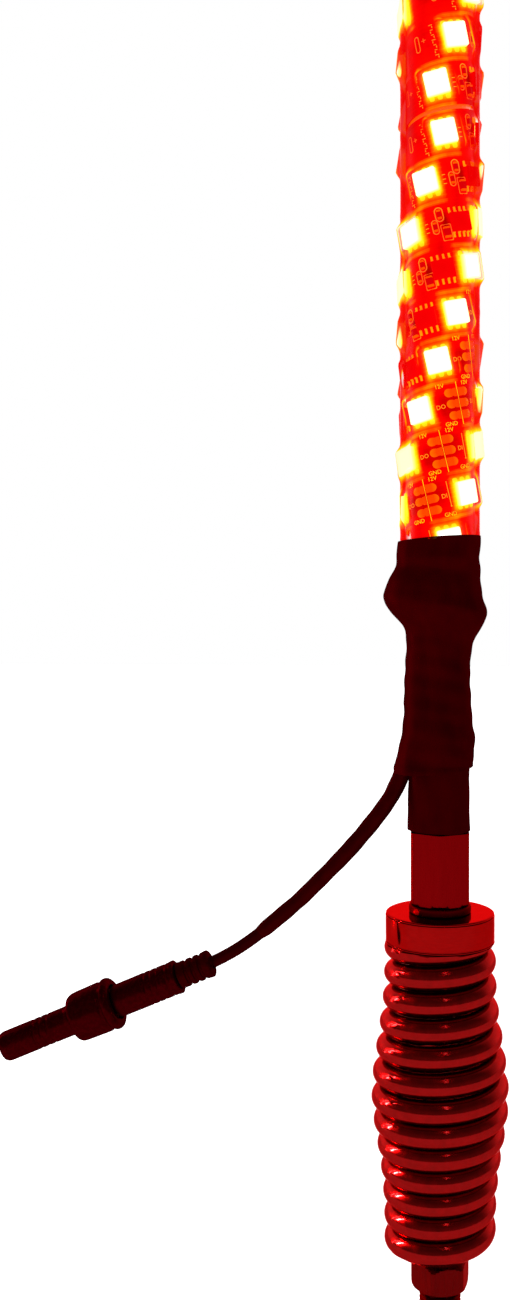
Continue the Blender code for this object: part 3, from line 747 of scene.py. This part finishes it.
collar = dict(radius=12.5, bottom=78.4, top=85.2, plugBottom=66.0, washer=7.1, washerTop=87.1)
ferrule = dict(flats=13.3, hexTop=103.9, barrelTop=149, top=176, barrel=5.9, spigot=5.6)


def makeCollar():
    r, top, bottom = collar["radius"], collar["top"], collar["bottom"]
    piece = turned(
        "springCollar",
        [(4.3, top), (r - 1.0, top), (r - 0.3, top, 0.15), (r - 0.05, top - 0.2, 0.1),
         (r - 0.3, top - 0.3, 0.04), (r - 0.3, top - 0.5, 0.04), (r, top - 0.6, 0.06),
         (r, bottom + 0.62, 0.06), (r - 0.25, bottom + 0.54, 0.04),
         (r - 0.25, bottom + 0.36, 0.04), (r, bottom + 0.28, 0.06), (r, bottom + 0.1, 0.05),
         (r - 0.15, bottom, 0.05),
         (6.9, bottom, 0.2), (6.9, 68.0, 0.3), (5.7, collar["plugBottom"], 0.3),
         (4.3, collar["plugBottom"], 0.1)],
        turnedSteel, "whip", 192, closed=True, sharp=25)
    standFor("spring_collar")
    polished.objects.link(piece)
    w, high = collar["washer"], collar["washerTop"]
    washer = turned(
        "collarWasher",
        [(4.3, high, 0.1), (w - 0.25, high, 0.2), (w, high - 0.2, 0.2), (w, top + 0.25, 0.15),
         (w - 0.2, top + 0.05, 0.1), (4.3, top + 0.05, 0.1)],
        darkSteel, "whip", 128, closed=True)
    standFor("collar_washer")


def makeFerrule():
    # from the top: a spigot, a round barrel and a hexagonal bar, bored from below for the link stud
    top, barrelTop, hexTop = ferrule["top"], ferrule["barrelTop"], ferrule["hexTop"]
    spigot, barrel = ferrule["spigot"], ferrule["barrel"]

    def hexBar(r, z, angle):
        side = hexRadius(angle, ferrule["flats"], flatAngle=0, rounding=0.3)
        return np.where((z < hexTop) & (r > 5.0), softMin(side, r, 0.1), r)

    piece = turned(
        "whipFerrule",
        [(0, top), (spigot - 0.8, top, 0.3), (spigot, top - 0.8, 0.3), (spigot, barrelTop, 0.1),
         (barrel, barrelTop, 0.1), (barrel, hexTop + 0.1), (6.2, hexTop), (7.7, 103.7),
         (7.9, 103.0), (7.9, 96), (7.9, 89.0), (7.75, 88.3), (7.3, 87.75), (6.8, 87.4),
         (6.3, 87.25, 0.1), (4.3, 87.25, 0.1), (4.3, 98.8), (0, 100.6)],
        barSteel, "whip", 240, shape=hexBar, sharp=25)
    standFor("whip_ferrule")


makeCollar()
makeFerrule()
print("collar and ferrule made")


# each row of a wrap is its height and its half-widths to the left and to the right
wrap = dict(
    wall=0.5, depth=0.97,
    upper=[(170.6, 9.45, 9.35), (168.0, 9.9, 9.1), (163.5, 10.3, 9.2), (161.0, 12.0, 9.3),
           (159.0, 12.8, 9.5), (156.6, 13.0, 10.0), (154.3, 11.9, 10.9), (152.0, 9.4, 10.6),
           (149.7, 8.0, 8.9), (147.4, 7.8, 7.7), (145.0, 7.8, 7.1), (139.5, 8.0, 7.0),
           (134.0, 8.3, 7.1), (129.0, 8.5, 7.3), (124.5, 9.0, 8.2), (120.0, 9.5, 7.7),
           (117.6, 9.8, 7.5)],
    lower=[(118.5, 7.2, 6.8), (117.0, 7.2, 6.75), (110.0, 7.4, 6.75), (105.0, 7.4, 6.8),
           (104.0, 7.35, 6.85)])


def wrapPiece(name, node, table, blur, top, bottom, folds, rows=220, columns=160):
    # round sections whose middles wander sideways, with low folds pressed into the film
    share = np.linspace(0, 1, rows)[:, None]
    angle = np.linspace(0, 2 * pi, columns, endpoint=False)[None, :]
    z = top(angle) + (bottom(angle) - top(angle)) * share
    heights, left, right = np.array(table)[::-1].T
    left, right = averaged(z, heights, left, blur), averaged(z, heights, right, blur)
    half, middle = (left + right) / 2, (right - left) / 2
    outer, inner = [np.stack([middle + r * np.cos(angle), wrap["depth"] * r * np.sin(angle), z],
                             axis=-1)
                    for r in (half + folds(z, angle), half + folds(z, angle) - wrap["wall"])]
    verts = np.concatenate([outer, inner[::-1]]).reshape(-1, 3)
    piece = finishMesh(name, verts, gridFaces(2 * rows, columns, True), shrinkFilm, "whip", 55)
    standFor(node)


def makeWraps():
    def upperFolds(z, angle):
        # the film over the cable's turn, a slanted crease, the lowest lamp and the cable's outlet
        ridge = 0.10 * np.sin(3 * angle + z * 0.35) * smoothStep(164, 150, z)
        crease = (-0.22 * np.exp(-((angle - 4.35 + (z - 140) * 0.012) / 0.10) ** 2)
                  * smoothStep(118, 124, z) * smoothStep(152, 146, z))
        waist = 0.08 * np.sin(z * 1.3 + 2 * np.cos(angle)) * smoothStep(170, 165, z)
        lamps = 0.10 * np.sin(2 * angle + z * 0.9) * smoothStep(158, 166, z)
        lip = 0.25 * smoothStep(119.5, 118.0, z)
        lamp = 1.15 * np.exp(-((angle - 5.02) / 0.55) ** 4 - ((z - 169.0) / 4.0) ** 4)
        outlet = 0.6 * np.exp(-((angle - pi) / 0.30) ** 4) * smoothStep(125, 119, z)
        return ridge + crease + waist + lamps + lip + lamp + outlet

    def lowerFolds(z, angle):
        return 0.06 * np.cos(6 * angle) * smoothStep(112, 104, z) + 0.04 * np.sin(z * 0.8)

    wrapPiece("upperShrinkSleeve", "upper_shrink_sleeve", wrap["upper"], 1.2,
              lambda a: 170.6 + 0.65 * np.cos(a) - 0.25 * np.sin(a),
              lambda a: 117.9 + 0.3 * np.sin(a) + 0.9 * np.cos(a), upperFolds)
    wrapPiece("lowerShrinkSleeve", "lower_shrink_sleeve", wrap["lower"], 1.0,
              lambda a: 118.4 + 0 * a, lambda a: 104.0 + 0.1 * np.sin(2 * a), lowerFolds, 90)


makeWraps()
print("wraps made")


# the lit strip is a flat board wound edge to edge: s runs along it and t across it
strip = dict(first=(43.0, 180.79), lean=0.2185, neutral=7.21, top=7.9, bottom=7.52, width=9.94,
             pitch=16.667, lamps=(-3, 76), splice=23.5, spliceTurn=-39.0, ends=(168.0, 467.0),
             lampSize=5.4, lampHeight=1.45, chipSize=(5.2, 4.4), chipHeight=1.0, chipAt=10.6,
             resistors=[(-5.3, -0.4), (-4.0, 2.2)], capacitor=(-3.2, -2.0))
leanCos = math.sqrt(1 - strip["lean"] ** 2)


def windAngle(s, t):
    # the angle from the front, growing to the right; the second length starts turned back
    turn = np.where(s > strip["splice"] * strip["pitch"], strip["spliceTurn"], 0.0)
    return (np.radians(strip["first"][0] + turn)
            + (s * leanCos - t * strip["lean"]) / strip["neutral"])


def windHeight(s, t):
    return strip["first"][1] + s * strip["lean"] + t * leanCos


def windBent(local, s, t):
    # parts that follow the board's curve
    along, across, above = local[..., 0], local[..., 1], local[..., 2]
    angle = windAngle(s, t) + (along * leanCos - across * strip["lean"]) / strip["neutral"]
    r = strip["top"] + above
    return np.stack([r * np.sin(angle), -r * np.cos(angle), windHeight(along + s, across + t)],
                    axis=-1)


def windFlat(local, s, t):
    # rigid parts, standing on the board's tangent plane
    along, across, above = local[..., 0], local[..., 1], local[..., 2]
    angle = windAngle(s, t)
    x = along * leanCos - across * strip["lean"]
    y = strip["top"] + above
    z = along * strip["lean"] + across * leanCos + windHeight(s, t)
    return np.stack([x * np.cos(angle) + y * np.sin(angle),
                     x * np.sin(angle) - y * np.cos(angle), z], axis=-1)


# three lamps make one length between cuts: a print line, then a chip, then the cut's pads
lampIndex = np.arange(strip["lamps"][0], strip["lamps"][1] + 1)
lampS = lampIndex * strip["pitch"]
lineLampS, chipLampS, cutLampS = [lampS[lampIndex % 3 == k] for k in range(3)]
chipS = chipLampS + strip["chipAt"]
cutS = cutLampS + strip["pitch"] / 2


def spread(angle, z, s):
    # how far points are from parts at s, in the directions along and across the board
    turn = (angle[:, None] - windAngle(s, 0 * s)[None, :] + pi) % (2 * pi) - pi
    dx = turn * strip["top"]
    dz = z[:, None] - windHeight(s, 0 * s)[None, :]
    return dx * leanCos + dz * strip["lean"], dz * leanCos - dx * strip["lean"], turn


def glowAt(verts):
    # light falls off fast beside each square lamp, and slowly further out
    angle, z = np.arctan2(verts[:, 0], -verts[:, 1]), verts[:, 2]
    halfLamp = 2.55
    glow = np.zeros(len(verts))
    for start in range(0, len(verts), 20000):
        part = slice(start, start + 20000)
        along, across, _ = spread(angle[part], z[part], lampS)
        gap = np.hypot(np.maximum(np.abs(along) - halfLamp, 0),
                       0.55 * np.maximum(np.abs(across) - halfLamp, 0))
        glow[part] = 0.52 * np.exp(-gap / 0.7).sum(axis=1) + 0.5 * np.exp(-gap.min(axis=1) / 5.0)
    return glow


def outline(width, height, corner, count=24):
    # a rectangle with rounded corners, as a loop of points
    a = np.linspace(0, 2 * pi, count, endpoint=False) + pi / count
    corner = min(corner, width / 2, height / 2)
    x = np.sign(np.cos(a)) * (width / 2 - corner) + corner * np.cos(a)
    y = np.sign(np.sin(a)) * (height / 2 - corner) + corner * np.sin(a)
    return np.stack([x, y], axis=1)


toMiddle = 99  # a shrink so large that the loop closes at its middle


def rings(loops):
    # loops of (points, height, shrink in mm) joined one after another
    out = []
    for points, height, shrink in loops:
        size = np.abs(points).max(axis=0)
        scale = np.maximum(1 - shrink / size, 0)
        out.append(np.concatenate([points * scale, np.full((len(points), 1), height)], axis=1))
    return np.array(out).reshape(-1, 3), gridFaces(len(loops), len(loops[0][0]))


def block(width, height, corner, low, top, bevel, count=24):
    # a slab with rounded corners, open below, with its top edge broken
    shape = outline(width, height, corner, count)
    return rings([(shape, low, 0), (shape, top - bevel, 0), (shape, top, bevel),
                  (shape, top, toMiddle)])


def lineRing(width, height, corner, line, count=24):
    # a printed line that runs round a rectangle with rounded corners
    shape = outline(width, height, corner, count)
    return rings([(shape, 0.02, 0), (shape, 0.05, line * 0.3), (shape, 0.05, line * 0.7),
                  (shape, 0.02, line)])


def moved(part, s, t):
    return part[0] + [s, t, 0], part[1]


def joined(parts):
    # several parts, each of points and faces, as one
    verts, faces, count = [], [], 0
    for v, f in parts:
        verts.append(v)
        faces.append(f + count)
        count += len(v)
    return np.concatenate(verts), np.concatenate(faces)


def stamp(name, part, places, mat, bent=True, glow=None, sharp=40):
    # one part repeated along the board
    verts, faces = part
    s = np.asarray(places, float)[:, None]
    put = windBent if bent else windFlat
    every = put(verts[None], s + 0 * verts[None, :, 0], 0 * s).reshape(-1, 3)
    tiled = (faces[None] + np.arange(len(s))[:, None, None] * len(verts)).reshape(-1, 4)
    light = glowAt(every) if glow is None else np.tile(glow(verts), len(s))
    piece = finishMesh(name, every, tiled, mat, "whip", sharp, attributes=dict(glow=light))
    standFor("led_strip")


def dash(width, height, s, t):
    return moved(block(width, height, 0.05, 0.02, 0.05, 0.01, 12), s, t)


def makeBoards():
    # the board's outline carried along a helix: x = r sin(angle), y = -r cos(angle)
    low, high = [(z - strip["first"][1]) / strip["lean"] for z in strip["ends"]]
    cut = strip["splice"] * strip["pitch"]
    half = strip["width"] / 2
    topPoints = 15
    across = np.concatenate([np.linspace(-half, half, topPoints),
                             [half, half - 0.1, -half + 0.1, -half]])
    level = np.concatenate([np.zeros(topPoints), [strip["bottom"] - strip["top"]] * 4])
    level[[0, topPoints - 1]] = -0.06
    for name, start, end in [("stripBoardLower", low, cut), ("stripBoardUpper", cut, high)]:
        along = np.linspace(start, end, int((end - start) / 0.62))
        s, t = np.meshgrid(along, across, indexing="ij")
        lift = 0.3 * smoothStep(12, 0, along - cut)[:, None] if start > low else 0
        middle = (start + end) / 2
        angle = windAngle(middle, 0) + ((s - middle) * leanCos - t * strip["lean"]) / strip["neutral"]
        r = strip["top"] + level + lift
        verts = np.stack([r * np.sin(angle), -r * np.cos(angle), windHeight(s, t)], axis=-1)
        # end rings fold onto themselves, so that the cut ends are closed
        count = len(across)
        first = np.repeat(verts[:1].mean(axis=1, keepdims=True), count, 1)
        last = np.repeat(verts[-1:].mean(axis=1, keepdims=True), count, 1)
        verts = np.concatenate([first, verts, last]).reshape(-1, 3)
        uv = np.stack([s, t], axis=-1)
        uv = np.concatenate([uv[:1], uv, uv[-1:]]).reshape(-1, 2)
        # painted shade darkens the board behind each chip and round the cut's pads, and painted light
        # makes it lighter at its edges
        light = glowAt(verts)
        seen = np.arctan2(verts[:, 0], -verts[:, 1])
        behind, beside, _ = spread(seen, verts[:, 2], chipS)
        shade = np.exp(-((behind + 3.3) / 0.7) ** 2 - ((beside - 0.6) / 2.2) ** 4).max(axis=1)
        left, up, _ = spread(seen, verts[:, 2], cutS)
        paintedPadShade = (np.exp(-((left + 4.4) / 1.6) ** 2 - ((up + 0.4) / 2.6) ** 4)
                + 0.5 * np.exp(-((left - 4.2) / 1.8) ** 2 - ((up - 1.0) / 2.4) ** 4)
                + 0.5 * np.exp(-(left / 2.6) ** 4 - (up / 3.8) ** 6)).max(axis=1)
        light = light - 0.28 * shade - 0.24 * paintedPadShade
        # painted light along the board's edges, from the lamps of the rows beside them
        light = light + 0.20 * smoothStep(4.5, 4.9, np.abs(uv[:, 1])) * smoothStep(0.3, 0.5, light)
        piece = finishMesh(name, verts, gridFaces(len(along) + 2, count), litBoard, "whip", 30,
                           uv, dict(glow=np.clip(light, 0, 1)))
        standFor("led_strip")


def textPart(text, height, s, t):
    # a word's outline, filled and laid flat on the board
    curve = bpy.data.curves.new("word", "FONT")
    curve.body, curve.size, curve.resolution_u = text, height * 1.38, 2
    curve.align_x, curve.align_y = "CENTER", "CENTER"
    word = bpy.data.objects.new("word", curve)
    bpy.context.scene.collection.objects.link(word)
    bpy.context.view_layer.update()
    mesh = bpy.data.meshes.new_from_object(word)
    bpy.data.objects.remove(word)
    flat = bmesh.new()
    flat.from_mesh(mesh)
    bmesh.ops.triangulate(flat, faces=flat.faces)
    verts = np.array([v.co for v in flat.verts])
    faces = np.array([[v.index for v in f.verts] for f in flat.faces])
    flat.free()
    verts = verts * [0.92, 1, 1] + [s, t, 0.05]
    # triangles are written as quads whose last two corners lie in one place
    return (np.concatenate([verts, verts]),
            np.concatenate([faces, faces[:, 2:] + len(verts)], axis=1))


def makeLamps():
    size, top = strip["lampSize"], strip["lampHeight"]
    body = outline(size, size, 0.45, 28)
    opening = outline(size - 0.5, size - 0.5, 0.5, 28)
    half = np.abs(opening).max()
    case = rings([(body, 0.08, 0.25), (body, 0.25, 0), (body, top - 0.12, 0.02), (body, top, 0.14),
                  (opening, top, 0), (opening, top - 0.16, 0.12), (opening, 0.3, 0.2),
                  (opening, 0.3, toMiddle)])
    stamp("ledCases", case, lampS, litCase, bent=False,
          glow=lambda v: smoothStep(0.2, 1.1, v[:, 2]))
    window = rings([(opening, top - 0.20, 0.10), (opening, top - 0.13, 0.35),
                    (opening, top - 0.10, half * 0.6), (opening, top - 0.10, toMiddle)])
    stamp("ledWindows", window, lampS, litLamp, bent=False)
    legs = [moved(block(1.05, 1.15, 0.4, 0.0, 0.36, 0.2, 16), s, t)
            for s in (-1.7, 0, 1.7) for t in (-3.0, 3.0)]
    stamp("solderJoints", joined(legs), lampS, litLeg)


def makeChips():
    width, height = strip["chipSize"]
    top = strip["chipHeight"]
    body = outline(width, height, 0.12, 24)
    chip = rings([(body, 0.08, 0.15), (body, 0.5, 0), (body, top - 0.04, 0.12), (body, top, 0.2),
                  (body, top, toMiddle)])
    stamp("driverChips", chip, chipS, litChip, bent=False, sharp=25)
    legs = []
    for t in (-1, 1):
        for s in (-1.8, -0.6, 0.6, 1.8):
            legs.append(moved(block(0.42, 1.15, 0.08, 0.0, 0.26, 0.06, 12), s, 2.75 * t))
            legs.append(moved(block(0.42, 0.35, 0.08, 0.1, 0.55, 0.08, 12), s, 2.28 * t))
    stamp("chipLegs", joined(legs), chipS, litLeg)

    # two resistors and a capacitor sit between the chip and the lamp before it
    (s, t), resistors = strip["capacitor"], strip["resistors"]
    bodies = [moved(block(0.75, 1.25, 0.08, 0.02, 0.42, 0.06, 12), *place) for place in resistors]
    bodies.append(moved(block(1.25, 1.6, 0.1, 0.02, 0.7, 0.1, 12), s, t))
    stamp("stripParts", joined(bodies), chipS, litPart)
    ends = [moved(block(0.85, 0.42, 0.12, 0.0, 0.44, 0.1, 12), along, across + d)
            for along, across in resistors for d in (-0.82, 0.82)]
    ends += [moved(block(1.3, 0.4, 0.12, 0.0, 0.72, 0.1, 12), s, t + d) for d in (-1.0, 1.0)]
    stamp("stripPartEnds", joined(ends), chipS, litCopper)


def makePrint():
    # at each cut: three pads in two halves, round outside and square at the cut, and words
    pads = []
    for t in (2.5, 0.0, -2.6):
        for length, side, s in [(2.7, 1, -1.55), (2.4, -1, 1.4)]:
            half = outline(length, 1.9, 0.95)
            half[:, 0] = np.where(side * half[:, 0] > 0, side * length / 2, half[:, 0])
            pad = rings([(half, 0.01, 0), (half, 0.05, 0.05), (half, 0.05, toMiddle)])
            pads.append(moved(pad, s, t))
    # the pads are painted lighter away from the cut, nearer the lamps: painted light
    stamp("solderPads", joined(pads), cutS, litCopper,
          glow=lambda v: 0.02 + 0.42 * smoothStep(0.4, 2.9, np.abs(v[:, 0])))
    cut = [block(0.12, 9.6, 0.02, 0.02, 0.07, 0.01, 40)]
    cut += [textPart("12V", 0.95, 2.1, 4.35), textPart("12V", 0.95, -3.6, 4.3),
            textPart("DO", 1.0, -4.2, -0.3), textPart("DI", 1.0, 3.75, 0.0),
            textPart("GND", 0.95, -2.8, -4.35), textPart("GND", 0.95, 4.2, -4.2)]
    # the print at the cuts is painted lighter towards the board's edges: painted light from the rows
    # of lamps beside
    stamp("printAtCuts", joined(cut), cutS, litPrint,
          glow=lambda v: 0.44 + 0.3 * smoothStep(3.6, 4.4, np.abs(v[:, 1])))

    # lines round the resistors and the capacitor
    first, second = strip["resistors"]
    frames = [moved(lineRing(1.4, 3.3, 0.7, 0.17), *first),
              moved(lineRing(1.8, 3.3, 0.9, 0.20), *second),
              moved(lineRing(2.2, 3.7, 0.25, 0.14), *strip["capacitor"])]
    frames += [dash(0.7, 0.14, -7.0, -1.2 + k) for k in range(3)]
    stamp("printAtChips", joined(frames), chipS, litPrint)

    # beside the lamp before a chip: an open oval, a plus sign and a column of plain ticks
    ticks = [moved(lineRing(1.15, 3.9, 0.57, 0.18), -8.0, 0.4), textPart("+", 1.5, -6.4, 0.5)]
    for k in range(7):
        ticks.append(dash(0.55 + 0.25 * (k % 3 == 0), 0.16, -4.3, 3.4 - 1.15 * k))
        ticks.append(dash(0.16, 0.45, -4.3 + 0.25 * (-1) ** k, 2.9 - 1.15 * k))
    stamp("printAtLamps", joined(ticks), chipLampS, litPrint)
    line = [moved(block(0.13, 5.6, 0.05, 0.02, 0.06, 0.01, 24), -3.6, 0.4),
            moved(block(0.34, 0.34, 0.17, 0.02, 0.06, 0.01, 12), -3.6, -2.4)]
    stamp("printAtLines", joined(line), lineLampS, litPrint)


makeBoards()
makeLamps()
makeChips()
makePrint()
print("lit strip made")


film = dict(low=169.6, high=473.0, radius=9.12, rows=430, columns=168)


def makeFilm():
    # a thin clear tube drawn tight: it rises over every lamp and chip and sags between them
    z = np.linspace(film["low"], film["high"], film["rows"])
    angle = np.linspace(0, 2 * pi, film["columns"], endpoint=False)
    zz, aa = [a.ravel() for a in np.meshgrid(z, angle, indexing="ij")]
    front = (aa + pi / 2 + pi) % (2 * pi) - pi
    r = film["radius"] + 0.05 * np.sin(2 * aa + zz * 0.6) + 0.03 * np.sin(zz * 2.1 + aa)
    for places, height, wide, tall in [(lampS, strip["lampHeight"], 2.6, 2.6),
                                       (chipS, strip["chipHeight"], 2.6, 2.2)]:
        for start in range(0, len(r), 20000):
            part = slice(start, start + 20000)
            along, across, turn = spread(front[part], zz[part], places)
            gap = np.hypot(np.maximum(np.abs(along) - wide, 0), np.maximum(np.abs(across) - tall, 0))
            high = (strip["top"] + height + 0.05) / np.cos(np.clip(turn, -0.5, 0.5))
            rise = np.exp(-(gap / 1.25) ** 2) * (high - film["radius"])
            r[part] = np.maximum(r[part], film["radius"] + rise.max(axis=1))
    r = r.reshape(film["rows"], film["columns"])
    r[[0, -1]] -= 0.9
    r = r.ravel()
    verts = np.stack([r * np.cos(aa), r * np.sin(aa), zz], axis=-1)
    light = np.clip(glowAt(verts), 0, 1.2)
    piece = finishMesh("filmSleeve", verts, gridFaces(film["rows"], film["columns"]), clearFilm,
                       "whip", 60, attributes=dict(glow=light))
    standFor("clear_sleeve")


makeFilm()
print("film made")


cap = dict(top=483.0, rim=464.0, radius=10.6, bore=9.6, boreTop=476.2)


def makeCap():
    # a push-on cap with a domed top edge and a thickened rim
    top, rim, r, bore = cap["top"], cap["rim"], cap["radius"], cap["bore"]
    piece = turned(
        "topCap",
        [(0, top), (7.5, top), (9.2, top - 0.3), (10.3, top - 1.4), (r, top - 3.0),
         (r + 0.02, rim + 2.0), (r + 0.06, rim + 1.6, 0.1), (r + 0.06, rim + 0.4, 0.15),
         (r - 0.1, rim, 0.1), (bore + 0.1, rim, 0.1), (bore + 0.05, 470),
         (bore, cap["boreTop"]), (0, cap["boreTop"] + 0.1)],
        nylon, "whip", 128, sharp=30)
    standFor("top_cap")


makeCap()
print("cap made")


def paintNodes():
    # the CAD pieces that stay in view
    for names, mat in [(("core_tube", "core_plug"), boardTube), (("link_stud",), darkSteel),
                       (("lead_positive",), leadRed), (("lead_data",), leadGreen),
                       (("lead_ground",), leadBlack), (("seal_ring",), rubber),
                       (pinNames, pinMetal)]:
        for name in names:
            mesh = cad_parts[name].data
            mesh.materials.clear()
            mesh.materials.append(mat)


paintNodes()
print("nodes painted")
